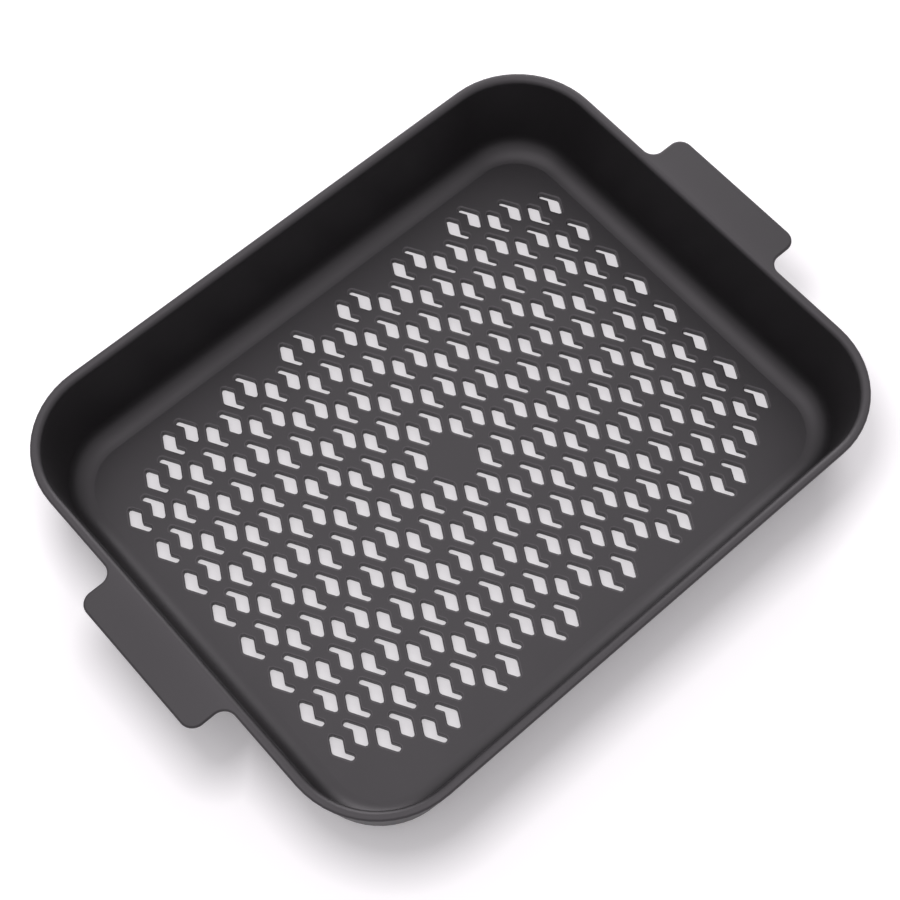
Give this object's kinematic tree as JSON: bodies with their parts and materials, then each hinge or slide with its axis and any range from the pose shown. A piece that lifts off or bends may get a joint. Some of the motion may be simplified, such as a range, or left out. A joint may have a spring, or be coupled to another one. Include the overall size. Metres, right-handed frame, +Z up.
{
  "type": "perforated roasting pan",
  "caption": "Shallow rectangular roasting pan with rounded corners, flared tab handles and a floor of paired holes split by S-shaped bars.",
  "frame": {"origin": "under the middle of the floor, on the surface that the pan stands on", "axes": "+X along the pan from handle to handle, +Y across it, +Z up"},
  "size_m": [0.419, 0.3, 0.0585],
  "materials": {
    "pan": "satin dark grey non-stick coating"
  },
  "bodies": {
    "root": {"pan": "pan"}
  },
  "joints": []
}
